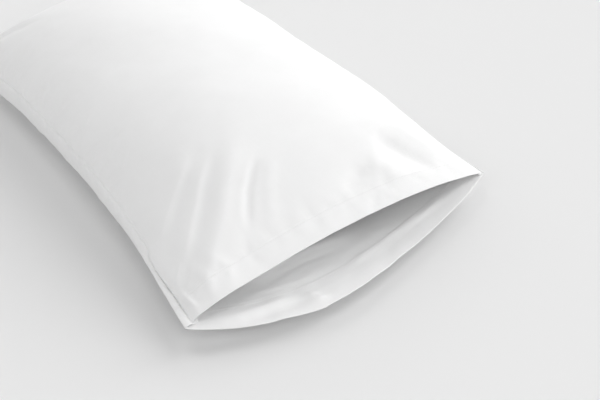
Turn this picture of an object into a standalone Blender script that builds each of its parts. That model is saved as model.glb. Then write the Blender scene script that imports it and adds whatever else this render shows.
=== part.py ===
"""Cotton pillowcase, plumped as it is when a pillow lies inside, open at one end.

Two cut panels of cloth, each with its hem as part of the cloth, joined along both
sides and the closed end.  The mouth faces -Y, the closed end +Y, and +Z is up.
All sizes are in metres.

The two panels together are one tube.  A place on the tube is named by "round", the
way round it (0 left edge, 0.5 middle of the top, 1 right edge, 1.5 middle of the
bottom, 2 left edge again), and by "at", the part of the length from the mouth.
"""
import math

import bpy
import numpy as np

# ---------------------------------------------------------------- named sizes
CLOTH = 0.0012            # thickness of one layer of cloth
CELLS_ACROSS = 34         # cells of a panel from side seam to side seam
CELLS_ALONG = 30          # cells of a panel from mouth to closed end
END_CROWDING = 0.45       # how much closer the rows stand at the mouth and closed end
CLOSING_FROM = 0.62       # part of the length where the closed end starts to round off
CLOSING_POWER = 3.2
UNDER_CLOSING = 0.6       # the bottom rounds off later than the top
BED_EASE = 0.004          # height over which the bottom panel eases onto the bed
CORNER_LIFT = 0.012       # the closed-end seam is higher at its middle than at its corners
CORNER_LIFT_FROM = 0.80
HEM_SKEW = 0.5            # the bottom hem bows out further left of its middle than right
HEM_SKEW_TO = 0.5         # part of the length where that has faded
FOLD_REACH = 0.45         # how far a fold fades, as a part of its half length
CENTRING = 0.03325        # moves the case along Y so that its outline is centred on the origin

COTTON_WHITE = (0.88, 0.88, 0.88, 1.0)
COTTON_ROUGHNESS = 0.85

# Cross-sections from the mouth to the closed end.
#   at          part of the length           y         where the side edges are, along the case
#   left, right half widths to each side     edge_z    height of the side edges
#   rise        top above the side edges     crown     shape of the arch, 1 round, 2 pointed
#   belly       bottom below the side edges  sag       shape of the belly, small is square
#   top_bow     mid top past the corners     under_bow the same for the bottom
#   apart       gap between the two layers at the seam
#   turned      how far the left seam is turned up over the left edge, in units of "round"
SECTION_COLUMNS = ("at", "y", "left", "right", "edge_z", "rise", "crown", "belly", "sag",
                   "top_bow", "under_bow", "apart", "turned")
SECTION_ROWS = (
    (0.00, -0.3675, 0.2450, 0.2450, 0.030, 0.0300, 1.90, 0.010, 1.20, 0.000, -0.063, 0.0015, 0.070),
    (0.08, -0.3050, 0.2370, 0.2420, 0.033, 0.0520, 1.65, 0.022, 1.00, 0.000, -0.034, 0.0013, 0.065),
    (0.17, -0.2400, 0.2290, 0.2370, 0.042, 0.0760, 1.35, 0.041, 0.80, 0.000, -0.012, 0.0008, 0.065),
    (0.30, -0.1450, 0.2220, 0.2280, 0.052, 0.0920, 1.15, 0.062, 0.62, 0.000, 0.000, 0.0006, 0.065),
    (0.50, 0.0000, 0.2165, 0.2180, 0.056, 0.0955, 1.05, 0.066, 0.58, 0.000, 0.000, 0.0005, 0.050),
    (0.70, 0.1450, 0.2180, 0.2180, 0.055, 0.0970, 1.05, 0.066, 0.58, 0.000, 0.000, 0.0005, 0.050),
    (0.88, 0.2850, 0.2270, 0.2290, 0.048, 0.1010, 1.15, 0.057, 0.62, -0.006, -0.006, 0.0006, 0.040),
    (1.00, 0.3675, 0.2380, 0.2380, 0.040, 0.0970, 1.40, 0.046, 0.80, -0.022, -0.022, 0.0016, 0.000),
)

# Soft folds that run over the cloth between two points seen from above.
#   x0, y0, x1, y1   ends of the fold        high   height, below zero for a trough
#   wide             half width of the fold
FOLD_COLUMNS = ("x0", "y0", "x1", "y1", "high", "wide")
TOP_FOLDS = (
    (-0.222, -0.262, -0.125, -0.187, 0.0030, 0.010),
    (-0.222, -0.295, -0.120, -0.208, -0.0030, 0.010),
    (-0.226, -0.318, -0.107, -0.202, 0.0040, 0.010),
    (-0.210, -0.338, -0.105, -0.228, -0.0035, 0.010),
    (-0.206, -0.355, -0.060, -0.205, 0.0050, 0.013),
    (-0.135, -0.325, -0.050, -0.228, -0.0045, 0.013),
    (0.020, -0.330, 0.075, -0.300, -0.0030, 0.016),
    (0.130, -0.268, 0.185, -0.335, -0.0035, 0.018),
    (0.090, -0.300, 0.110, -0.345, 0.0030, 0.015),
)
UNDER_FOLDS = (
    (-0.050, -0.400, 0.196, -0.363, 0.0035, 0.009),
    (-0.220, -0.370, -0.100, -0.393, 0.0030, 0.009),
    (-0.098, -0.333, 0.002, -0.343, 0.0025, 0.009),
)


def rows_as_columns(names, rows):
    """Turn a table of rows into one array for each named column."""
    return {name: np.array([row[i] for row in rows]) for i, name in enumerate(names)}


SECTIONS = rows_as_columns(SECTION_COLUMNS, SECTION_ROWS)


def section(name, at):
    """Smoothly read one column of the section table at a part of the length."""
    x, y = SECTIONS["at"], SECTIONS[name]
    step = np.diff(x)
    slope = np.diff(y) / step
    tangent = np.zeros_like(y)
    tangent[0], tangent[-1] = slope[0], slope[-1]
    for i in range(1, len(y) - 1):
        if slope[i - 1] * slope[i] > 0.0:
            w0, w1 = 2 * step[i] + step[i - 1], step[i] + 2 * step[i - 1]
            tangent[i] = (w0 + w1) / (w0 / slope[i - 1] + w1 / slope[i])
    at = min(max(at, 0.0), 1.0)
    i = min(int(np.searchsorted(x, at, side="right")) - 1, len(step) - 1)
    s = (at - x[i]) / step[i]
    return float((2 * s**3 - 3 * s**2 + 1) * y[i] + (s**3 - 2 * s**2 + s) * step[i] * tangent[i]
                 + (3 * s**2 - 2 * s**3) * y[i + 1] + (s**3 - s**2) * step[i] * tangent[i + 1])


def fold_height(rows, x, y):
    """Sum of the soft folds at a point seen from above."""
    total = 0.0
    for row in rows:
        fold = dict(zip(FOLD_COLUMNS, row))
        dx, dy = fold["x1"] - fold["x0"], fold["y1"] - fold["y0"]
        length = math.hypot(dx, dy)
        along = ((x - fold["x0"]) * dx + (y - fold["y0"]) * dy) / length
        aside = ((x - fold["x0"]) * dy - (y - fold["y0"]) * dx) / length
        from_middle = abs(along / length - 0.5) * 2.0
        past = max(0.0, from_middle - (1.0 - FOLD_REACH)) / FOLD_REACH
        total += fold["high"] * math.exp(-(aside / fold["wide"]) ** 2 - past ** 2)
    return total


def closing(at):
    """How full the case still is towards its closed end, 1 full and 0 at the seam."""
    s = min(max((at - CLOSING_FROM) / (1.0 - CLOSING_FROM), 0.0), 1.0)
    return math.sqrt(max(0.0, 1.0 - s ** CLOSING_POWER))


def tube_point(way_round, at):
    """A point of the tube: x, y, height, and how near it is to the middle, 0 to 1."""
    on_top = way_round <= 1.0 or way_round > 2.0
    angle = (way_round % 2.0 - 0.5 if on_top else 1.5 - way_round) * math.pi
    mid = max(0.0, math.cos(angle))
    side = math.sin(angle)
    x = section("left" if side < 0.0 else "right", at) * side
    lift = min(max((at - CORNER_LIFT_FROM) / (1.0 - CORNER_LIFT_FROM), 0.0), 1.0)
    z = section("edge_z", at) + CORNER_LIFT * mid ** 2 * lift ** 2
    if on_top:
        y = section("y", at) + section("top_bow", at) * mid ** 2
        z += section("rise", at) * closing(at) * mid ** section("crown", at)
        return x, y, z, mid
    skew = 1.0 - HEM_SKEW * side * min(max(1.0 - at / HEM_SKEW_TO, 0.0), 1.0)
    y = section("y", at) + section("under_bow", at) * skew * mid ** 2
    z -= section("belly", at) * closing(at) ** UNDER_CLOSING * mid ** section("sag", at)
    if z < -BED_EASE:
        z = 0.0
    elif z < BED_EASE:
        z = (z + BED_EASE) ** 2 / (4.0 * BED_EASE)
    return x, y, z, mid


def top_point(across, at):
    """Middle of the cloth of the top panel; across runs 0 to 1 from the left seam."""
    turned = section("turned", at)
    x, y, z, mid = tube_point(turned + (1.0 - turned) * across, at)
    seam_fade = min(1.0, 2.0 * mid) * min(1.0, 3.0 * closing(at))
    z += fold_height(TOP_FOLDS, x, y) * seam_fade
    return x, y, z + section("apart", at) / 2.0 + CLOTH / 2.0


def bottom_point(across, at):
    """Middle of the cloth of the bottom panel, which wraps up round the left edge."""
    turned = section("turned", at)
    way_round = 2.0 + turned - (1.0 + turned) * across
    x, y, z, mid = tube_point(way_round, at)
    if way_round < 2.0:
        seam_fade = min(1.0, 2.0 * mid)
        z += max(0.0, fold_height(UNDER_FOLDS, x, y) * seam_fade)
    near_seam = 1.0 - min(1.0, 2.0 * mid, 3.0 * closing(at))
    return x, y, z - section("apart", at) / 2.0 * near_seam + CLOTH / 2.0


def cotton(name):
    """Plain white cotton."""
    material = bpy.data.materials.new(name)
    material.use_nodes = True
    shader = material.node_tree.nodes["Principled BSDF"]
    shader.inputs["Base Color"].default_value = COTTON_WHITE
    shader.inputs["Roughness"].default_value = COTTON_ROUGHNESS
    shader.inputs["Metallic"].default_value = 0.0
    material.diffuse_color = COTTON_WHITE
    return material


def panel(name, point, collection):
    """A cut panel: a flat grid laid into its shape, then given the cloth's thickness."""
    bpy.ops.mesh.primitive_grid_add(x_subdivisions=CELLS_ACROSS, y_subdivisions=CELLS_ALONG,
                                    size=1.0, location=(0.0, CENTRING, 0.0))
    cloth = bpy.context.object
    cloth.name = cloth.data.name = name
    for vertex in cloth.data.vertices:
        across, row = vertex.co.x + 0.5, vertex.co.y + 0.5
        at = row - END_CROWDING * math.sin(2.0 * math.pi * row) / (2.0 * math.pi)
        vertex.co = point(across, at)
    for face in cloth.data.polygons:
        face.use_smooth = True
    thickness = cloth.modifiers.new("cloth thickness", "SOLIDIFY")
    thickness.thickness = CLOTH
    thickness.offset = 0.0
    thickness.use_even_offset = False
    cloth.data.materials.append(cotton(name + "_cotton"))
    for other in list(cloth.users_collection):
        other.objects.unlink(cloth)
    collection.objects.link(cloth)


def build_pillowcase():
    for item in list(bpy.data.objects):
        bpy.data.objects.remove(item, do_unlink=True)
    collection = bpy.data.collections.new("pillowcase")
    bpy.context.scene.collection.children.link(collection)
    panel("top_panel", top_point, collection)
    panel("bottom_panel", bottom_point, collection)


build_pillowcase()
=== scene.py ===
"""Cotton pillowcase: the looks.

Two cut panels of plain-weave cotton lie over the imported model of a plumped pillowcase.
They are turned in at the side seams and at the closed end, gathered a little by their
stitching, and folded double at the mouth, where a row of lockstitch holds each hem.
The mouth faces -Y, the closed end +Y, and +Z is up.  All sizes are in metres.

The two panels together are one tube.  A place on the tube is named by "round", the way
round it (0 left edge, 0.5 middle of the top, 1 right edge, 1.5 middle of the bottom, 2
left edge again), and by "at", the part of the length from the mouth.
"""
import math

import bpy
import numpy as np
from bpy.props import FloatProperty, FloatVectorProperty, IntProperty, PointerProperty
from bpy.types import Operator, Panel, PropertyGroup
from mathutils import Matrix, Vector, noise


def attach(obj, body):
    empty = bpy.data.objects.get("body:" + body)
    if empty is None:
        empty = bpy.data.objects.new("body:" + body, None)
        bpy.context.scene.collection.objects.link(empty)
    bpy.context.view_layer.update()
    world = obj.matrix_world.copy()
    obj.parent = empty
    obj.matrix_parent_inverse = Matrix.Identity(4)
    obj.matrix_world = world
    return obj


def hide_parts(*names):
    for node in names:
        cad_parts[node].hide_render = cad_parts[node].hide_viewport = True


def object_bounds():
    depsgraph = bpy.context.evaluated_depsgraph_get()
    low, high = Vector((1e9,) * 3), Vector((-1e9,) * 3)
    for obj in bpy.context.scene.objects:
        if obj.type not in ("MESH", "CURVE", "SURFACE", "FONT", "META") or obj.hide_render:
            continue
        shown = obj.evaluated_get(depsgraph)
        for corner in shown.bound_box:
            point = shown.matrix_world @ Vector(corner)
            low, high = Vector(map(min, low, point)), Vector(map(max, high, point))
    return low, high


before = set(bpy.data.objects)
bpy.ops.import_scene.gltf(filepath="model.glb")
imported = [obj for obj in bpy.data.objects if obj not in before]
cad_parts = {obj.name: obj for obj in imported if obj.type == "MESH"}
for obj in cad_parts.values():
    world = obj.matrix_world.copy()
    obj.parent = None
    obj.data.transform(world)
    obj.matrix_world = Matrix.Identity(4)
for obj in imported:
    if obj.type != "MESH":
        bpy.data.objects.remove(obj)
CAD_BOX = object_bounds()

bl_info = {
    "name": "Cotton pillowcase",
    "version": (1, 0, 0),
    "blender": (4, 5, 0),
    "location": "3D View > Sidebar > Pillowcase",
    "description": "Lays the two sewn panels of a plumped cotton pillowcase",
    "category": "Add Mesh",
}

# ------------------------------------------------------------------ shape of the case
# Cross-sections from the mouth to the closed end.
#   at          part of the length           y         where the side edges are, along the case
#   left, right half widths to each side     edge_z    height of the side edges
#   rise        top above the side edges     crown     shape of the arch, 1 round, 2 pointed
#   belly       bottom below the side edges  sag       shape of the belly, small is square
#   top_bow     mid top past the corners     under_bow the same for the bottom
SECTION_COLUMNS = ("at", "y", "left", "right", "edge_z", "rise", "crown", "belly", "sag",
                   "top_bow", "under_bow")
SECTION_ROWS = (
    (0.00, -0.3675, 0.2450, 0.2450, 0.030, 0.0300, 1.90, 0.010, 1.20, 0.000, -0.063),
    (0.08, -0.3050, 0.2370, 0.2420, 0.033, 0.0520, 1.65, 0.022, 1.00, 0.000, -0.034),
    (0.17, -0.2400, 0.2290, 0.2370, 0.042, 0.0760, 1.35, 0.041, 0.80, 0.000, -0.012),
    (0.30, -0.1450, 0.2220, 0.2280, 0.052, 0.0890, 1.15, 0.062, 0.62, 0.000, 0.000),
    (0.50, 0.0000, 0.2165, 0.2180, 0.056, 0.0930, 1.05, 0.066, 0.58, 0.000, 0.000),
    (0.70, 0.1450, 0.2180, 0.2180, 0.055, 0.0970, 1.05, 0.066, 0.58, 0.000, 0.000),
    (0.88, 0.2850, 0.2270, 0.2290, 0.048, 0.1010, 1.15, 0.057, 0.62, -0.006, -0.006),
    (1.00, 0.3675, 0.2380, 0.2380, 0.040, 0.0970, 1.40, 0.046, 0.80, -0.022, -0.022),
)
# Where the left seam runs, turned up over the left edge, in units of "round".
SEAM_COLUMNS = ("at", "turned")
SEAM_ROWS = (
    (0.00, 0.086), (0.05, 0.078), (0.09, 0.062), (0.125, 0.046), (0.145, 0.044),
    (0.160, 0.074), (0.20, 0.070), (0.30, 0.064), (0.50, 0.050), (0.75, 0.050),
    (0.90, 0.040), (1.00, 0.000),
)
CLOSING_FROM, CLOSING_POWER, UNDER_CLOSING = 0.62, 3.2, 0.6
BED_EASE = 0.004
CORNER_LIFT, CORNER_LIFT_FROM = 0.012, 0.80
HEM_SKEW, HEM_SKEW_TO = 0.5, 0.5
CENTRING = 0.03325
CLOTH_ON_BED = 0.0006

# ------------------------------------------------------------------ folds of the cloth
# Each fold runs through three places seen from above.
#   x0, y0, x1, y1, x2, y2   start, middle, end     high  height, below zero for a trough
#   wide  half width         lean  how much steeper its right flank is, -1 to 1
FOLD_COLUMNS = ("x0", "y0", "x1", "y1", "x2", "y2", "high", "wide", "lean")
TOP_FOLDS = (
    # three soft folds that run in from the left seam by the mouth
    (-0.213, -0.254, -0.171, -0.224, -0.112, -0.175, 0.0024, 0.0130, 0.9),
    (-0.210, -0.300, -0.160, -0.256, -0.096, -0.191, 0.0029, 0.0130, 0.9),
    (-0.212, -0.360, -0.150, -0.294, -0.044, -0.188, 0.0022, 0.0130, 0.5),
    # the swell under the third fold, a trough beyond it and the soft ridge after that
    (-0.220, -0.372, -0.152, -0.300, -0.030, -0.180, 0.0052, 0.0340, 0.0),
    (-0.116, -0.316, -0.088, -0.272, -0.052, -0.240, -0.0026, 0.0046, 0.0),
    (-0.090, -0.330, -0.062, -0.280, -0.030, -0.246, 0.0014, 0.0090, 0.0),
    # short creases by the seam, and the cloth beside it, pulled flat by the corner
    (-0.225, -0.320, -0.215, -0.306, -0.203, -0.293, 0.0007, 0.0028, 0.0),
    (-0.222, -0.338, -0.208, -0.322, -0.190, -0.306, 0.0006, 0.0034, 0.0),
    (-0.226, -0.318, -0.2235, -0.342, -0.220, -0.366, 0.0019, 0.0050, -0.8),
    # soft hollows and a swell on the right, between the pillow's end and the mouth
    (0.020, -0.334, 0.048, -0.318, 0.078, -0.303, -0.0030, 0.0130, 0.0),
    (0.118, -0.264, 0.151, -0.304, 0.187, -0.341, -0.0076, 0.0170, 0.0),
    (0.088, -0.292, 0.102, -0.320, 0.114, -0.346, 0.0028, 0.0130, 0.0),
    (0.160, -0.250, 0.192, -0.284, 0.218, -0.318, 0.0026, 0.0110, 0.0),
    (0.040, -0.366, 0.050, -0.357, 0.060, -0.346, -0.0012, 0.0040, 0.0),
    # creases drawn in from the left seam further back
    (-0.214, 0.172, -0.201, 0.177, -0.164, 0.190, -0.0008, 0.0026, 0.0),
    (-0.213, 0.181, -0.198, 0.188, -0.159, 0.200, 0.0008, 0.0030, 0.0),
    (-0.214, 0.072, -0.198, 0.091, -0.173, 0.107, -0.0010, 0.0028, 0.0),
    (-0.214, 0.081, -0.196, 0.100, -0.171, 0.116, 0.0003, 0.0030, 0.0),
    (-0.208, 0.028, -0.190, 0.044, -0.168, 0.052, -0.0006, 0.0026, 0.0),
    (-0.208, -0.046, -0.188, -0.024, -0.164, -0.012, 0.0005, 0.0030, 0.0),
    (-0.208, -0.112, -0.187, -0.098, -0.168, -0.088, 0.0006, 0.0028, 0.0),
    (-0.212, -0.154, -0.190, -0.129, -0.170, -0.117, 0.0005, 0.0026, 0.0),
    # drag lines that run in from the two closed corners and the mouth's right corner
    (-0.222, 0.345, -0.180, 0.300, -0.120, 0.255, -0.0024, 0.0090, 0.0),
    (-0.200, 0.348, -0.160, 0.312, -0.110, 0.280, 0.0022, 0.0090, 0.0),
    (0.222, 0.345, 0.185, 0.305, 0.130, 0.262, -0.0022, 0.0090, 0.0),
    (0.205, 0.350, 0.165, 0.318, 0.118, 0.288, 0.0020, 0.0090, 0.0),
    (0.232, -0.270, 0.212, -0.236, 0.180, -0.200, -0.0020, 0.0080, 0.0),
)
UNDER_FOLDS = (
    # the lower hem's inner side, standing up along the mouth, and the hollow behind it
    (-0.040, -0.397, 0.060, -0.382, 0.200, -0.361, 0.0014, 0.0070, 0.4),
    (-0.038, -0.386, 0.052, -0.3725, 0.200, -0.352, -0.0004, 0.0080, 0.0),
    (-0.221, -0.369, -0.158, -0.389, -0.099, -0.393, 0.0030, 0.0080, 0.4),
    (-0.200, -0.392, -0.150, -0.405, -0.100, -0.411, -0.0016, 0.0070, 0.0),
    (-0.087, -0.427, -0.086, -0.412, -0.098, -0.394, 0.0030, 0.0050, 0.4),
    # the cloth swelling up behind the hem where the pillow's end pushes it
    (-0.168, -0.333, -0.066, -0.330, 0.047, -0.346, 0.0100, 0.0240, 0.5),
    # fine wrinkles that lie along the mouth inside it
    (-0.138, -0.341, -0.058, -0.338, 0.012, -0.349, 0.0008, 0.0034, 0.0),
    (-0.128, -0.351, -0.053, -0.348, 0.007, -0.358, 0.0007, 0.0030, 0.0),
    (-0.118, -0.362, -0.058, -0.358, 0.002, -0.367, 0.0006, 0.0028, 0.0),
    (-0.158, -0.354, -0.108, -0.370, -0.058, -0.375, 0.0007, 0.0032, 0.0),
    (-0.178, -0.361, -0.138, -0.375, -0.098, -0.382, 0.0006, 0.0028, 0.0),
)
# The lower hem's edge, where it leaves the smooth curve of the mouth.
#   x  across the case      y  shift along the case      z  height above the smooth curve
HEM_EDGE_COLUMNS = ("x", "y", "z")
HEM_EDGE_ROWS = (
    (-0.245, -0.002, 0.000),
    (-0.140, 0.002, 0.001),
    (-0.090, -0.002, 0.000),
    (-0.080, 0.000, 0.000),
    (0.040, 0.003, 0.000),
    (0.190, -0.005, 0.000),
    (0.245, -0.002, 0.000),
)
HEM_EDGE_REACH = 0.040

# Sets of small gathers that the stitching makes along a seam.
#   spacing  mean distance between them     high  mean height      wide  mean half width
#   reach    mean length in from the seam   slant  how far they lean along the seam
GATHER_COLUMNS = ("spacing", "high", "wide", "reach", "slant")
SIDE_GATHERS = (
    (0.0052, 0.00050, 0.0017, 0.018, 0.25),
    (0.0072, 0.00046, 0.0021, 0.032, 0.40),
    (0.0300, 0.00050, 0.0052, 0.056, 0.50),
)
END_GATHERS = (
    (0.0055, 0.00040, 0.0022, 0.016, 0.25),
    (0.0170, 0.00070, 0.0042, 0.040, 0.30),
)
HEM_GATHERS = (
    (0.0090, 0.00030, 0.0028, 0.016, 0.80),
    (0.0230, 0.00060, 0.0058, 0.026, 0.80),
)
SEED = 23

# Where the left seam gapes by the mouth, how far along and how deep.
GAP_AT, GAP_LENGTH, GAP_DEPTH = 0.075, 0.070, 0.0044

# How much closer the cells lie towards the left seam, and towards the mouth and the end.
LEFT_CROWDING, END_CROWDING = 0.25, 0.15

# How a fold is drawn: places along it, the part of it in which its ends die away, what is left there.
FOLD_PLACES, FOLD_RUN_OUT, FOLD_LEAST = 25, 0.3, 0.12
# How far one gather may differ from the mean of its kind, as least and most parts of it.
GATHER_PLACE, GATHER_HIGH = (0.1, 0.9), (0.2, 1.9)
GATHER_WIDE, GATHER_REACH = (0.6, 1.4), (0.4, 1.7)
# A gather ends at so many reaches, starts with this part of its height and rises in this distance.
GATHER_ENDS, GATHER_START, GATHER_RISE = 2.6, 0.35, 0.003
# Folds die away in these distances from the side seams and from the closed end.
SIDE_FADE, END_FADE = 0.012, 0.02
# Rows of cells beside the hem's sewn edge, and how far inside that edge the stitches run.
HEM_SEWING, STITCH_IN = (-0.0005, 0.0003, 0.0012), 0.002
# Turned-in allowances: how many layers they lie below the panel, and in what distance they get there.
TOP_DROP, UNDER_DROP, END_APART, TURN_REACH = 1.05, 2.15, 0.55, 0.0012
# The side allowances' least part, where the end allowance narrows, and its own least part.
SIDE_LEAST, END_NARROWS, END_LEAST = 0.12, 0.15, 0.05
# Turned-in edge of a panel: distances in from the seam, as parts of its allowance.
ALLOWANCE_STEPS = (0.08, 0.30, 0.62, 1.0)
# Extra columns close beside a seam, in metres, so that the seam turns in sharply.
SEAM_STEPS = (0.0005, 0.0012, 0.0021, 0.0032)
# Extra rows at the mouth's rounded edge, in metres from it, and the hem's thickness there.
EDGE_STEPS = ((0.0, 0.30), (0.00025, 0.70), (0.0006, 0.92), (0.0012, 1.0))


def rows_as_columns(names, rows):
    """Turn a table of rows into one array for each named column."""
    return {name: np.array([row[i] for row in rows]) for i, name in enumerate(names)}


SECTIONS = rows_as_columns(SECTION_COLUMNS, SECTION_ROWS)
SEAM = rows_as_columns(SEAM_COLUMNS, SEAM_ROWS)
HEM_EDGE = rows_as_columns(HEM_EDGE_COLUMNS, HEM_EDGE_ROWS)


def read_column(table, name, at):
    """Smoothly read one column of a table at many parts of the length."""
    x, y = table["at"], table[name]
    step = np.diff(x)
    slope = np.diff(y) / step
    tangent = np.zeros_like(y)
    tangent[0], tangent[-1] = slope[0], slope[-1]
    for i in range(1, len(y) - 1):
        if slope[i - 1] * slope[i] > 0.0:
            w0, w1 = 2 * step[i] + step[i - 1], step[i] + 2 * step[i - 1]
            tangent[i] = (w0 + w1) / (w0 / slope[i - 1] + w1 / slope[i])
    at = np.clip(at, 0.0, 1.0)
    i = np.minimum(np.searchsorted(x, at, side="right") - 1, len(step) - 1)
    s = (at - x[i]) / step[i]
    return ((2 * s**3 - 3 * s**2 + 1) * y[i] + (s**3 - 2 * s**2 + s) * step[i] * tangent[i]
            + (3 * s**2 - 2 * s**3) * y[i + 1] + (s**3 - s**2) * step[i] * tangent[i + 1])


def closing(at):
    """How full the case still is towards its closed end, 1 full and 0 at the seam."""
    s = np.clip((at - CLOSING_FROM) / (1.0 - CLOSING_FROM), 0.0, 1.0)
    return np.sqrt(np.clip(1.0 - s ** CLOSING_POWER, 0.0, 1.0))


def tube(way_round, at):
    """Points of the smooth tube that both panels lie on."""
    on_top = (way_round <= 1.0) | (way_round > 2.0)
    angle = np.where(on_top, np.mod(way_round, 2.0) - 0.5, 1.5 - way_round) * np.pi
    mid = np.clip(np.cos(angle), 0.0, 1.0)
    side = np.sin(angle)
    half_width = np.where(side < 0.0, read_column(SECTIONS, "left", at),
                          read_column(SECTIONS, "right", at))
    lift = np.clip((at - CORNER_LIFT_FROM) / (1.0 - CORNER_LIFT_FROM), 0.0, 1.0)
    edge_z = read_column(SECTIONS, "edge_z", at) + CORNER_LIFT * mid ** 2 * lift ** 2
    arch = read_column(SECTIONS, "rise", at) * closing(at) * mid ** read_column(SECTIONS, "crown", at)
    belly = (read_column(SECTIONS, "belly", at) * closing(at) ** UNDER_CLOSING
             * mid ** read_column(SECTIONS, "sag", at))
    under = edge_z - belly
    eased = (under + BED_EASE) ** 2 / (4.0 * BED_EASE)
    under = np.where(under < -BED_EASE, 0.0, np.where(under < BED_EASE, eased, under))
    skew = 1.0 - HEM_SKEW * side * np.clip(1.0 - at / HEM_SKEW_TO, 0.0, 1.0)
    bow = np.where(on_top, read_column(SECTIONS, "top_bow", at),
                   read_column(SECTIONS, "under_bow", at) * skew)
    y = read_column(SECTIONS, "y", at) + bow * mid ** 2
    return np.stack((half_width * side, y, np.where(on_top, edge_z + arch, under)), axis=-1)


def unit(vectors):
    return vectors / np.maximum(np.linalg.norm(vectors, axis=-1, keepdims=True), 1e-12)


def outward_normals(points, flip):
    """Normals of a grid of points [row, column], outward from the case."""
    normals = unit(np.cross(np.gradient(points, axis=1), np.gradient(points, axis=0)))
    return -normals if flip else normals


def arc_length(points, axis):
    """Running length over the cloth along one direction of a grid of points."""
    step = np.linalg.norm(np.diff(points, axis=axis), axis=-1)
    start = np.zeros_like(np.take(step, [0], axis=axis))
    return np.concatenate((start, np.cumsum(step, axis=axis)), axis=axis)


def fold_relief(points, rows):
    """Height of the named folds at every point of the cloth."""
    flat = points.reshape(-1, 3)
    total = np.zeros(len(flat))
    for row in rows:
        fold = dict(zip(FOLD_COLUMNS, row))
        t = np.linspace(0.0, 1.0, FOLD_PLACES)[:, None]
        ends = [np.array((fold["x" + k], fold["y" + k])) for k in "012"]
        through = 2.0 * ends[1] - 0.5 * (ends[0] + ends[2])
        line = (1 - t) ** 2 * ends[0] + 2 * t * (1 - t) * through + t ** 2 * ends[2]
        nearest = [int(np.argmin(np.hypot(flat[:, 0] - x, flat[:, 1] - y))) for x, y in line]
        path = flat[nearest]
        path[1:-1] = 0.25 * path[:-2] + 0.5 * path[1:-1] + 0.25 * path[2:]
        best = np.full(len(flat), np.inf)
        along, aside = np.zeros(len(flat)), np.zeros(len(flat))
        for i in range(len(path) - 1):
            run = path[i + 1] - path[i]
            length = max(float(run @ run), 1e-12)
            s = ((flat - path[i]) @ run) / length
            inside = np.clip(s, 0.0, 1.0)
            away = flat - path[i] - inside[:, None] * run
            distance = np.linalg.norm(away, axis=1)
            nearer = distance < best
            best = np.where(nearer, distance, best)
            along = np.where(nearer, (i + inside) / (len(path) - 1), along)
            turn = run[0] * away[:, 1] - run[1] * away[:, 0]
            aside = np.where(nearer, -np.sign(turn) * distance, aside)
        wide = fold["wide"] * np.where(aside > 0.0, 1.0 - 0.5 * fold["lean"], 1.0 + 0.5 * fold["lean"])
        fade = np.clip(np.minimum(along, 1.0 - along) / FOLD_RUN_OUT, 0.0, 1.0)
        fade = FOLD_LEAST + (1.0 - FOLD_LEAST) * fade * fade * (3.0 - 2.0 * fade)
        total += fold["high"] * np.exp(-(best / wide) ** 2) * fade
    return total.reshape(points.shape[:-1])


def gathers(rows, draw, along, away, length, strength):
    """Small gathers along a seam: "along" runs on the seam, "away" in from it."""
    total = np.zeros_like(along)
    for row in rows:
        kind = dict(zip(GATHER_COLUMNS, row))
        count = int(length / kind["spacing"])
        for i in range(count):
            place = (i + draw.uniform(*GATHER_PLACE)) * kind["spacing"]
            high = kind["high"] * draw.uniform(*GATHER_HIGH) * draw.choice((-1.0, 1.0))
            wide = kind["wide"] * draw.uniform(*GATHER_WIDE)
            reach = kind["reach"] * draw.uniform(*GATHER_REACH)
            slant = kind["slant"] * draw.uniform(-1.0, 1.0)
            close = away < GATHER_ENDS * reach
            if not close.any():
                continue
            inwards = away[close]
            beside = (along[close] - place - slant * inwards) / (wide * (1 + 0.5 * inwards / reach))
            rise = GATHER_START + (1.0 - GATHER_START) * (1 - np.exp(-inwards / GATHER_RISE))
            fade = np.exp(-(inwards / reach) ** 2) * rise
            total[close] += high * np.exp(-beside ** 2) * fade
    return total * strength


def unevenness(points, scale, high, shift):
    """Broad, soft unevenness of hand-plumped cloth."""
    flat = points.reshape(-1, 3)
    values = [noise.noise(Vector((float(p[0]), float(p[1]), float(p[2]))) * scale + shift) for p in flat]
    return high * np.array(values).reshape(points.shape[:-1])


def shape_hem_edge(laid, points, from_mouth):
    """Bend the lower hem's edge into the straighter runs and the corner that it has."""
    fade = np.exp(-(from_mouth / HEM_EDGE_REACH) ** 2)
    for axis in (1, 2):
        shift = np.interp(points[..., 0], HEM_EDGE["x"], HEM_EDGE[HEM_EDGE_COLUMNS[axis]])
        laid[..., axis] += shift * fade


def seam_columns(cells, width):
    """Places across a panel, closer together beside its two seams."""
    even = np.linspace(0.0, 1.0, cells + 1)
    even = even - LEFT_CROWDING * np.sin(np.pi * even) / np.pi
    close = np.array(SEAM_STEPS) / width
    inner = even[(even > close[-1] + 0.5 / cells / 2) & (even < 1.0 - close[-1] - 0.5 / cells / 2)]
    return np.concatenate(((0.0,), close, inner, 1.0 - close[::-1], (1.0,)))


def hem_rows(cells, length, hem):
    """Places along a panel, with rows for the hem's rounded edge and its sewn inner edge."""
    even = np.linspace(0.0, 1.0, cells + 1)
    even = even - END_CROWDING * np.sin(2.0 * np.pi * even) / (2.0 * np.pi)
    edge = np.array([place for place, _ in EDGE_STEPS]) / length
    step = (hem + np.array(HEM_SEWING)) / length
    gap = 0.4 / cells
    keep = (even > edge[-1] + gap / 2) & (np.abs(even - hem / length) > gap)
    tail = 1.0 - np.array(SEAM_STEPS[::-1]) / length
    keep &= even < tail[0] - gap / 2
    return np.sort(np.concatenate((edge, step, even[keep], tail, (1.0,))))


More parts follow.
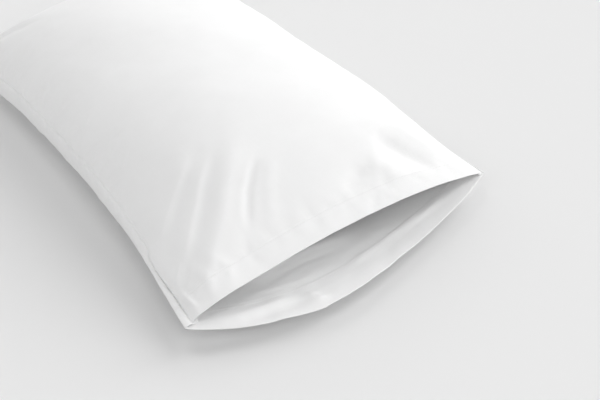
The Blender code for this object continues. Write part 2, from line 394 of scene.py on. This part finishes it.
def cloth_object(name, columns, rows, points, cut, thickness, thick_share, material, flip):
    """A panel of cloth: a grid laid through the points, with its cut places as UVs."""
    bpy.ops.mesh.primitive_grid_add(x_subdivisions=columns - 1, y_subdivisions=rows - 1, size=1.0,
                                    calc_uvs=True)
    cloth = bpy.context.object
    cloth.name = cloth.data.name = name
    mesh = cloth.data
    mesh.vertices.foreach_set("co", points.reshape(-1).astype(np.float32))
    corner = np.zeros(len(mesh.loops), dtype=np.int32)
    mesh.loops.foreach_get("vertex_index", corner)
    mesh.uv_layers[0].name = "cut"
    mesh.uv_layers[0].data.foreach_set("uv", cut.reshape(-1, 2)[corner].reshape(-1).astype(np.float32))
    if flip:
        mesh.flip_normals()
    mesh.update()
    mesh.polygons.foreach_set("use_smooth", np.ones(len(mesh.polygons), dtype=bool))
    group = cloth.vertex_groups.new(name="layers")
    share = np.round(thick_share.reshape(-1), 3)
    for value in np.unique(share):
        group.add(np.nonzero(share == value)[0].tolist(), float(value), "REPLACE")
    layer = cloth.modifiers.new("cloth thickness", "SOLIDIFY")
    layer.thickness = thickness
    layer.offset = 0.0
    layer.vertex_group = "layers"
    layer.use_even_offset = False
    mesh.materials.append(material)
    return cloth


def lay_panel(name, top, sizes, material):
    """Lay one panel over the tube, turn its seams in, and return it with its hem's stitch line."""
    width, length = sizes.case_width, sizes.case_length
    columns = seam_columns(sizes.cells_across, width)
    rows = hem_rows(sizes.cells_along, length, sizes.hem_depth)
    at = np.repeat(rows[:, None], len(columns), axis=1)
    turned = read_column(SEAM, "turned", at)
    across = np.repeat(columns[None, :], len(rows), axis=0)
    if top:
        way_round = turned + (1.0 - turned) * across
    else:
        way_round = 2.0 + turned - (1.0 + turned) * across
    points = tube(way_round, at)
    normals = outward_normals(points, flip=not top)
    over = arc_length(points, axis=1)
    along = arc_length(points, axis=0)
    from_left, from_right = over, over[:, -1:] - over
    from_mouth, from_end = along, along[-1:, :] - along

    draw = np.random.default_rng(SEED + top)
    relief = np.zeros_like(over)
    mid_body = np.exp(-((at - 0.55) / 0.30) ** 2)
    strength = sizes.gather_strength * (0.35 + 0.9 * mid_body) * np.clip(from_end / 0.03, 0.15, 1.0)
    strength = strength * np.clip((at - 0.10) / 0.16, 0.25, 1.0)
    for away in (from_left, from_right):
        relief += gathers(SIDE_GATHERS, draw, along, away, length, strength)
    near_end = sizes.gather_strength * np.clip(np.minimum(from_left, from_right) / 0.03, 0.15, 1.0)
    relief += gathers(END_GATHERS, draw, over, from_end, width, near_end)
    hem_fade = np.clip(np.minimum(from_left, from_right) / 0.02, 0.0, 1.0)
    relief += gathers(HEM_GATHERS, draw, over, np.abs(from_mouth - sizes.hem_depth), width, hem_fade)
    folds = fold_relief(points, TOP_FOLDS if top else UNDER_FOLDS) * sizes.fold_strength
    folds = folds if top else -folds
    seam_fade = np.clip(np.minimum(from_left, from_right) / SIDE_FADE, 0.0, 1.0)
    seam_fade = seam_fade * np.clip(from_end / END_FADE, 0.0, 1.0)
    relief += folds * seam_fade
    broad = unevenness(points, 9.0, 0.0022, Vector((3.1, 7.7, 1.3)))
    small = unevenness(points, 34.0, 0.00045, Vector((9.2, 0.4, 5.5)))
    relief += (broad + small) * seam_fade
    nearest_seam = np.minimum(np.minimum(from_left, from_right), from_end)
    relief -= sizes.seam_dip * np.exp(-nearest_seam / 0.0022)
    gaping = np.exp(-((at - GAP_AT) / GAP_LENGTH) ** 2) * np.exp(-from_left / 0.0013)
    relief -= GAP_DEPTH * gaping
    stitched = np.exp(-((from_mouth - sizes.hem_depth + 0.0015) / 0.0022) ** 2)
    relief -= 0.00018 * stitched

    laid = points + normals * relief[..., None]
    if not top:
        shape_hem_edge(laid, points, from_mouth)
    laid[..., 2] = np.maximum(laid[..., 2], 0.0) + CLOTH_ON_BED

    turned_in = turn_in_sides(laid, normals, at, sizes, top)
    whole = turn_in_end(turned_in, sizes, top)
    extra = len(ALLOWANCE_STEPS)
    cut_x = (columns - 0.5) * width
    side_in = np.array(ALLOWANCE_STEPS) * sizes.seam_allowance
    cut_x = np.concatenate((cut_x[0] - side_in[::-1], cut_x, cut_x[-1] + side_in))
    cut_y = np.concatenate((rows * length, length + side_in))
    cut = np.stack(np.meshgrid(cut_x, cut_y), axis=-1)

    share = np.full(whole.shape[:2], sizes.cloth_thickness / sizes.hem_thickness)
    hem_share = np.interp(rows * length, [place for place, _ in EDGE_STEPS], [s for _, s in EDGE_STEPS])
    in_hem = rows * length < sizes.hem_depth
    share[:len(rows)][in_hem] = np.maximum(hem_share[in_hem], 0.0)[:, None]
    whole[..., 1] += CENTRING
    cloth = cloth_object(name, whole.shape[1], whole.shape[0], whole, cut, sizes.hem_thickness, share,
                         material, flip=not top)
    stitch_row = int(np.argmin(np.abs(rows * length - (sizes.hem_depth - STITCH_IN))))
    line = whole[stitch_row, extra:-extra]
    across_line = whole[stitch_row + 1, extra:-extra] - whole[stitch_row - 1, extra:-extra]
    up = unit(np.cross(np.gradient(line, axis=0), across_line))
    if not top:
        up = -up
    return cloth, line, up


def turn_in_sides(laid, normals, at, sizes, top):
    """Add each side's seam allowance, turned in towards the middle of the case."""
    parts = [laid]
    for edge in (0, -1):
        start, normal = laid[:, edge], normals[:, edge]
        inner = np.stack((np.sign(-start[:, 0]), np.zeros(len(start)), np.zeros(len(start))), axis=-1)
        reach = sizes.seam_allowance * (
            SIDE_LEAST + (1.0 - SIDE_LEAST) * np.clip(closing(at[:, 0]) * 2.0, 0.0, 1.0))
        drop = sizes.cloth_thickness * (TOP_DROP if top else UNDER_DROP)
        strips = []
        for step in ALLOWANCE_STEPS:
            distance = (reach * step)[:, None]
            strips.append(start + inner * distance
                          - normal * drop * (1.0 - np.exp(-distance / TURN_REACH)))
        strips = np.stack(strips, axis=1)
        parts = [strips[:, ::-1]] + parts if edge == 0 else parts + [strips]
    return np.concatenate(parts, axis=1)


def turn_in_end(points, sizes, top):
    """Add the closed end's seam allowance, turned in."""
    start = points[-1]
    count = len(start)
    place = np.abs(np.linspace(-1.0, 1.0, count))
    reach = sizes.seam_allowance * np.clip((1.0 - place) / END_NARROWS, END_LEAST, 1.0)
    apart = sizes.cloth_thickness * (END_APART if top else -END_APART)
    strips = []
    for step in ALLOWANCE_STEPS:
        distance = reach * step
        lift = apart * (1 - np.exp(-distance / TURN_REACH))
        shift = np.stack((np.zeros(count), -distance, lift), axis=-1)
        strips.append(start + shift)
    return np.concatenate((points, np.stack(strips)), axis=0)


# ------------------------------------------------------------------ cloth and thread
def node(tree, kind, place, **inputs):
    """Add a shader node at a place in the tree, with its inputs set by name."""
    made = tree.nodes.new(kind)
    made.location = place
    for name, value in inputs.items():
        made.inputs[name.replace("_", " ")].default_value = value
    return made


def math_node(tree, operation, place, first, second=None):
    made = tree.nodes.new("ShaderNodeMath")
    made.operation = operation
    made.location = place
    for socket, value in zip(made.inputs, (first, second)):
        if isinstance(value, bpy.types.NodeSocket):
            tree.links.new(value, socket)
        elif value is not None:
            socket.default_value = value
    return made.outputs[0]


def cotton_material(name, look):
    """Plain-weave cotton: threads over and under, slubs, and a little unevenness of white."""
    material = bpy.data.materials.new(name)
    material.use_nodes = True
    tree = material.node_tree
    shader = tree.nodes["Principled BSDF"]
    shader.inputs["Roughness"].default_value = look.roughness
    shader.inputs["Specular IOR Level"].default_value = 0.25
    shader.inputs["Sheen Weight"].default_value = look.sheen
    shader.inputs["Sheen Roughness"].default_value = 0.5
    place = tree.nodes.new("ShaderNodeUVMap")
    place.uv_map = "cut"
    place.location = (-1500, 0)
    parts = tree.nodes.new("ShaderNodeSeparateXYZ")
    parts.location = (-1320, 0)
    tree.links.new(place.outputs["UV"], parts.inputs[0])
    turn = 2.0 * math.pi / look.thread_pitch / 2.0
    warp = math_node(tree, "SINE", (-960, 140),
                     math_node(tree, "MULTIPLY", (-1140, 140), parts.outputs["X"], turn))
    weft = math_node(tree, "SINE", (-960, -40),
                     math_node(tree, "MULTIPLY", (-1140, -40), parts.outputs["Y"], turn))
    weave = math_node(tree, "MULTIPLY", (-780, 60), warp, weft)

    def slubs(stretch, height):
        mapping = node(tree, "ShaderNodeMapping", (-1140, height), Scale=stretch)
        tree.links.new(place.outputs["UV"], mapping.inputs["Vector"])
        texture = node(tree, "ShaderNodeTexNoise", (-960, height), Scale=1.0, Detail=2.0)
        tree.links.new(mapping.outputs["Vector"], texture.inputs["Vector"])
        return texture.outputs["Fac"]

    threads = math_node(tree, "ADD", (-780, -260), slubs((1400.0, 40.0, 1.0), -240),
                        slubs((45.0, 1400.0, 1.0), -520))
    relief = math_node(tree, "ADD", (-600, -60), math_node(tree, "MULTIPLY", (-690, 60), weave, 0.5), threads)
    bump = node(tree, "ShaderNodeBump", (-400, -160), Strength=look.weave_strength, Distance=look.weave_depth)
    tree.links.new(relief, bump.inputs["Height"])
    tree.links.new(bump.outputs["Normal"], shader.inputs["Normal"])

    cloudy = node(tree, "ShaderNodeTexNoise", (-780, 420), Scale=7.0, Detail=4.0, Roughness=0.6)
    tree.links.new(place.outputs["UV"], cloudy.inputs["Vector"])
    fine = math_node(tree, "ADD", (-600, 420), math_node(tree, "MULTIPLY", (-690, 520), threads, 0.35),
                     cloudy.outputs["Fac"])
    ramp = tree.nodes.new("ShaderNodeValToRGB")
    ramp.location = (-400, 420)
    ramp.color_ramp.elements[0].position = 0.45
    ramp.color_ramp.elements[1].position = 1.10
    shade = tuple(look.cotton_colour)
    ramp.color_ramp.elements[0].color = tuple(0.955 * c for c in shade) + (1.0,)
    ramp.color_ramp.elements[1].color = shade + (1.0,)
    tree.links.new(fine, ramp.inputs["Fac"])
    tree.links.new(ramp.outputs["Color"], shader.inputs["Base Color"])
    material.diffuse_color = shade + (1.0,)
    return material


def thread_material(name, look):
    """Twisted white sewing thread, with painted shade in the grooves of its twist."""
    material = bpy.data.materials.new(name)
    material.use_nodes = True
    tree = material.node_tree
    shader = tree.nodes["Principled BSDF"]
    shader.inputs["Roughness"].default_value = 0.55
    shader.inputs["Sheen Weight"].default_value = 0.2
    place = tree.nodes.new("ShaderNodeTexCoord")
    place.location = (-900, 0)
    twist = tree.nodes.new("ShaderNodeTexWave")
    twist.location = (-700, 0)
    twist.bands_direction = "DIAGONAL"
    twist.inputs["Scale"].default_value = 420.0
    tree.links.new(place.outputs["Object"], twist.inputs["Vector"])
    # Painted shade: the ramp makes the thread 8 per cent darker in the grooves of its twist, where the bump
    # is lowest.
    ramp = tree.nodes.new("ShaderNodeValToRGB")
    ramp.location = (-480, 120)
    shade = tuple(look.thread_colour)
    ramp.color_ramp.elements[0].color = tuple(0.92 * c for c in shade) + (1.0,)
    ramp.color_ramp.elements[1].color = shade + (1.0,)
    tree.links.new(twist.outputs["Fac"], ramp.inputs["Fac"])
    tree.links.new(ramp.outputs["Color"], shader.inputs["Base Color"])
    bump = node(tree, "ShaderNodeBump", (-300, -160), Strength=0.4, Distance=0.00006)
    tree.links.new(twist.outputs["Fac"], bump.inputs["Height"])
    tree.links.new(bump.outputs["Normal"], shader.inputs["Normal"])
    material.diffuse_color = shade + (1.0,)
    return material


def stitch_object(name, runs, sizes, material):
    """One row of lockstitch on each face of a hem, as one mesh of short thread loops."""
    sides, rings = 6, 5
    vertices, faces = [], []
    for line, up in runs:
        length = np.concatenate(((0.0,), np.cumsum(np.linalg.norm(np.diff(line, axis=0), axis=1))))
        count = int(length[-1] / sizes.stitch_length)
        for k in range(count):
            s = (np.linspace(0.06, 0.94, rings) + k) * sizes.stitch_length
            core = np.stack([np.interp(s, length, line[:, i]) for i in range(3)], axis=-1)
            rise = unit(np.stack([np.interp(s, length, up[:, i]) for i in range(3)], axis=-1))
            arch = np.sin(np.linspace(0.0, np.pi, rings))
            radius = sizes.thread_diameter / 2.0
            core = core + rise * (radius * (1.5 * arch - 0.7))[:, None]
            ahead = unit(np.gradient(core, axis=0))
            beside = unit(np.cross(ahead, rise))
            above = np.cross(beside, ahead)
            base = len(vertices)
            for r in range(rings):
                for j in range(sides):
                    a = 2.0 * math.pi * j / sides
                    offset = beside[r] * math.cos(a) + above[r] * math.sin(a)
                    vertices.append(core[r] + offset * radius)
            for r in range(rings - 1):
                for j in range(sides):
                    a, b = base + r * sides + j, base + r * sides + (j + 1) % sides
                    faces.append((a, b, b + sides, a + sides))
            faces.append(tuple(base + j for j in reversed(range(sides))))
            faces.append(tuple(base + (rings - 1) * sides + j for j in range(sides)))
    mesh = bpy.data.meshes.new(name)
    mesh.from_pydata([tuple(v) for v in vertices], [], faces)
    mesh.polygons.foreach_set("use_smooth", np.ones(len(mesh.polygons), dtype=bool))
    mesh.update()
    mesh.materials.append(material)
    made = bpy.data.objects.new(name, mesh)
    bpy.context.scene.collection.objects.link(made)
    return made


def floor_material(studio):
    """Matt pale floor."""
    material = bpy.data.materials.new("pale_floor")
    material.use_nodes = True
    tree = material.node_tree
    shader = tree.nodes["Principled BSDF"]
    shader.inputs["Roughness"].default_value = 0.9
    shader.inputs["Specular IOR Level"].default_value = 0.1
    shader.inputs["Base Color"].default_value = tuple(studio.floor_colour) + (1.0,)
    return material


# Soft lamps stand round the case in rings, and are stronger towards the window at +X.
#   count       lamps in the ring, the first of them at +X      height   above the floor, in degrees
#   all_round   strength of every lamp                          window   what the window adds, at most
RING_COLUMNS = ("count", "height", "all_round", "window")
RING_ROWS = (
    (8, 20.0, 0.10, 0.25),
    (4, 50.0, 0.14, 0.08),
)
SOFT_LIGHT_WIDTH = math.radians(32)

# ------------------------------------------------------------------ settings
class PillowcaseSizes(PropertyGroup):
    """Sizes of the sewn case."""

    case_width: FloatProperty(name="Width", description="Width of the flat case", default=0.51,
                              unit="LENGTH")
    case_length: FloatProperty(name="Length", description="Length of the flat case", default=0.76,
                               unit="LENGTH")
    cloth_thickness: FloatProperty(name="Cloth", description="Thickness of one layer of cloth",
                                   default=0.0005, unit="LENGTH", precision=5)
    hem_thickness: FloatProperty(name="Hem", description="Thickness of the folded hem",
                                 default=0.0010, unit="LENGTH", precision=5)
    hem_depth: FloatProperty(name="Hem depth", description="From the mouth's edge to the hem's stitching",
                             default=0.030, unit="LENGTH")
    seam_allowance: FloatProperty(name="Seam allowance", description="Cloth turned in at each seam",
                                  default=0.008, unit="LENGTH")
    seam_dip: FloatProperty(name="Seam dip", description="How far the cloth turns down into a seam",
                            default=0.0016, unit="LENGTH", precision=5)
    gather_strength: FloatProperty(name="Gathers", description="How strongly the seams gather the cloth",
                                   default=1.0, subtype="FACTOR")
    fold_strength: FloatProperty(name="Folds", description="How strongly the soft folds show",
                                 default=1.0, subtype="FACTOR")
    stitch_length: FloatProperty(name="Stitch", description="Length of one stitch", default=0.0028,
                                 unit="LENGTH", precision=5)
    thread_diameter: FloatProperty(name="Thread", description="Thickness of the sewing thread",
                                   default=0.00036, unit="LENGTH", precision=5)
    cells_across: IntProperty(name="Cells across", description="Mesh cells from seam to seam", default=112)
    cells_along: IntProperty(name="Cells along", description="Mesh cells from mouth to end", default=370)


class PillowcaseLook(PropertyGroup):
    """Colours and finish of cotton and thread."""

    cotton_colour: FloatVectorProperty(name="Cotton", description="Colour of the cloth", size=3,
                                       subtype="COLOR", default=(0.90, 0.90, 0.90))
    thread_colour: FloatVectorProperty(name="Thread", description="Colour of the sewing thread", size=3,
                                       subtype="COLOR", default=(0.88, 0.88, 0.88))
    roughness: FloatProperty(name="Roughness", description="How matt the cloth is", default=0.88,
                             subtype="FACTOR")
    sheen: FloatProperty(name="Sheen", description="Soft light on the cloth's fibres", default=0.15,
                         subtype="FACTOR")
    thread_pitch: FloatProperty(name="Thread pitch", description="Distance between threads",
                                default=0.00040, unit="LENGTH", precision=5)
    weave_depth: FloatProperty(name="Weave depth", description="Height of the threads", default=0.00010,
                               unit="LENGTH", precision=5)
    weave_strength: FloatProperty(name="Weave strength", description="How strongly the weave shows",
                                  default=0.5, subtype="FACTOR")


class PillowcaseStudio(PropertyGroup):
    """Floor, light and camera."""

    floor_colour: FloatVectorProperty(name="Floor", description="Colour of the floor", size=3,
                                      subtype="COLOR", default=(0.80, 0.80, 0.80))
    floor_size: FloatProperty(name="Floor size", description="Side of the floor", default=14.0,
                              unit="LENGTH")
    sky_light: FloatProperty(name="All-round light", description="Strength of the even light",
                             default=0.06)
    light_strength: FloatProperty(name="Lamps", description="Strength of all the soft lamps",
                                  default=1.0)
    azimuth: FloatProperty(name="Azimuth", description="Camera's turn round the case",
                           default=math.radians(-36.95), subtype="ANGLE")
    elevation: FloatProperty(name="Elevation", description="Camera's height angle",
                             default=math.radians(39.1), subtype="ANGLE")
    distance: FloatProperty(name="Distance", description="Camera's distance", default=1.2412,
                            unit="LENGTH")
    focal_length: FloatProperty(name="Lens", description="Focal length in millimetres", default=52.7)


def settings():
    scene = bpy.context.scene
    return scene.pillowcase_sizes, scene.pillowcase_look, scene.pillowcase_studio


def declare_panel(piece, replaced):
    """Attach a panel to the root body and hide the solid that it stands for."""
    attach(piece, "root")
    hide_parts(replaced)


# ------------------------------------------------------------------ operators
class PILLOWCASE_OT_bottom_panel(Operator):
    """Lay the bottom panel, which wraps up round the left edge"""

    bl_idname = "pillowcase.bottom_panel"
    bl_label = "Bottom Panel"

    def execute(self, context):
        sizes, look, _ = settings()
        cotton = cotton_material("bottom_cotton", look)
        cloth, line, up = lay_panel("bottom_panel_cloth", False, sizes, cotton)
        lift = sizes.hem_thickness / 2.0
        stitches = stitch_object("bottom_hem_stitches", ((line + up * lift, up), (line - up * lift, -up)),
                                 sizes, thread_material("bottom_thread", look))
        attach(stitches, "root")
        declare_panel(cloth, "bottom_panel")
        return {"FINISHED"}


class PILLOWCASE_OT_top_panel(Operator):
    """Lay the top panel over the plumped case"""

    bl_idname = "pillowcase.top_panel"
    bl_label = "Top Panel"

    def execute(self, context):
        sizes, look, _ = settings()
        cotton = cotton_material("top_cotton", look)
        cloth, line, up = lay_panel("top_panel_cloth", True, sizes, cotton)
        lift = sizes.hem_thickness / 2.0
        stitches = stitch_object("top_hem_stitches", ((line + up * lift, up), (line - up * lift, -up)),
                                 sizes, thread_material("top_thread", look))
        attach(stitches, "root")
        declare_panel(cloth, "top_panel")
        return {"FINISHED"}


class PILLOWCASE_OT_stage(Operator):
    """Set up the floor, the lights and the camera"""

    bl_idname = "pillowcase.stage"
    bl_label = "Floor, Light and Camera"

    def execute(self, context):
        _, _, studio = settings()
        bpy.ops.mesh.primitive_plane_add(size=studio.floor_size, location=(0.0, 0.0, 0.0))
        floor = context.object
        floor.name = floor.data.name = "floor"
        floor.data.materials.append(floor_material(studio))

        scene = context.scene
        world = bpy.data.worlds.new("even_light")
        world.use_nodes = True
        world.node_tree.nodes["Background"].inputs["Color"].default_value = (1.0, 1.0, 1.0, 1.0)
        world.node_tree.nodes["Background"].inputs["Strength"].default_value = studio.sky_light
        scene.world = world
        scene.view_settings.view_transform = "Standard"

        for row in RING_ROWS:
            self.add_ring(dict(zip(RING_COLUMNS, row)), studio.light_strength)
        self.add_camera(scene, studio)
        return {"FINISHED"}

    @staticmethod
    def add_ring(ring, light_strength):
        """One ring of soft lamps, each turned to the middle of the case."""
        e = math.radians(ring["height"])
        for i in range(ring["count"]):
            a = 2.0 * math.pi * i / ring["count"]
            strength = ring["all_round"] + ring["window"] * max(0.0, math.cos(a))
            name = f"lamp_{ring['height']:.0f}_{i}"
            light = bpy.data.lights.new(name, "SUN")
            light.energy = math.pi * strength * light_strength
            light.angle = SOFT_LIGHT_WIDTH
            lamp = bpy.data.objects.new(name, light)
            towards = Vector((math.cos(a) * math.cos(e), math.sin(a) * math.cos(e), math.sin(e)))
            lamp.rotation_euler = towards.to_track_quat("Z", "Y").to_euler()
            bpy.context.scene.collection.objects.link(lamp)

    @staticmethod
    def add_camera(scene, studio):
        low, high = CAD_BOX
        middle = Vector(((low[0] + high[0]) / 2.0, (low[1] + high[1]) / 2.0, low[2]))
        aim = middle + Vector((0.0235, -0.1985, 0.0))
        a, e = studio.azimuth, studio.elevation
        back = Vector((math.sin(a) * math.cos(e), -math.cos(a) * math.cos(e), math.sin(e)))
        data = bpy.data.cameras.new("camera")
        data.lens = studio.focal_length
        data.sensor_width = 36.0
        camera = bpy.data.objects.new("camera", data)
        camera.location = aim + back * studio.distance
        camera.rotation_euler = (-back).to_track_quat("-Z", "Y").to_euler()
        scene.collection.objects.link(camera)
        scene.camera = camera


class PILLOWCASE_PT_sidebar(Panel):
    """Sizes, colours and steps of the pillowcase"""

    bl_label = "Pillowcase"
    bl_space_type = "VIEW_3D"
    bl_region_type = "UI"
    bl_category = "Pillowcase"

    def draw(self, context):
        for group in settings():
            box = self.layout.box()
            for name in group.bl_rna.properties.keys():
                if name not in {"rna_type", "name"}:
                    box.prop(group, name)
        for step in STEPS:
            self.layout.operator(step.bl_idname)


STEPS = (PILLOWCASE_OT_bottom_panel, PILLOWCASE_OT_top_panel, PILLOWCASE_OT_stage)
GROUPS = {"pillowcase_sizes": PillowcaseSizes, "pillowcase_look": PillowcaseLook,
          "pillowcase_studio": PillowcaseStudio}


def register():
    for name, group in GROUPS.items():
        bpy.utils.register_class(group)
        setattr(bpy.types.Scene, name, PointerProperty(type=group))
    for kind in STEPS + (PILLOWCASE_PT_sidebar,):
        bpy.utils.register_class(kind)


def unregister():
    for kind in reversed(STEPS + (PILLOWCASE_PT_sidebar,)):
        bpy.utils.unregister_class(kind)
    for name, group in reversed(GROUPS.items()):
        delattr(bpy.types.Scene, name)
        bpy.utils.unregister_class(group)


def main():
    register()
    bpy.ops.pillowcase.bottom_panel()
    bpy.ops.pillowcase.top_panel()
    bpy.ops.pillowcase.stage()


if __name__ == "__main__":
    main()
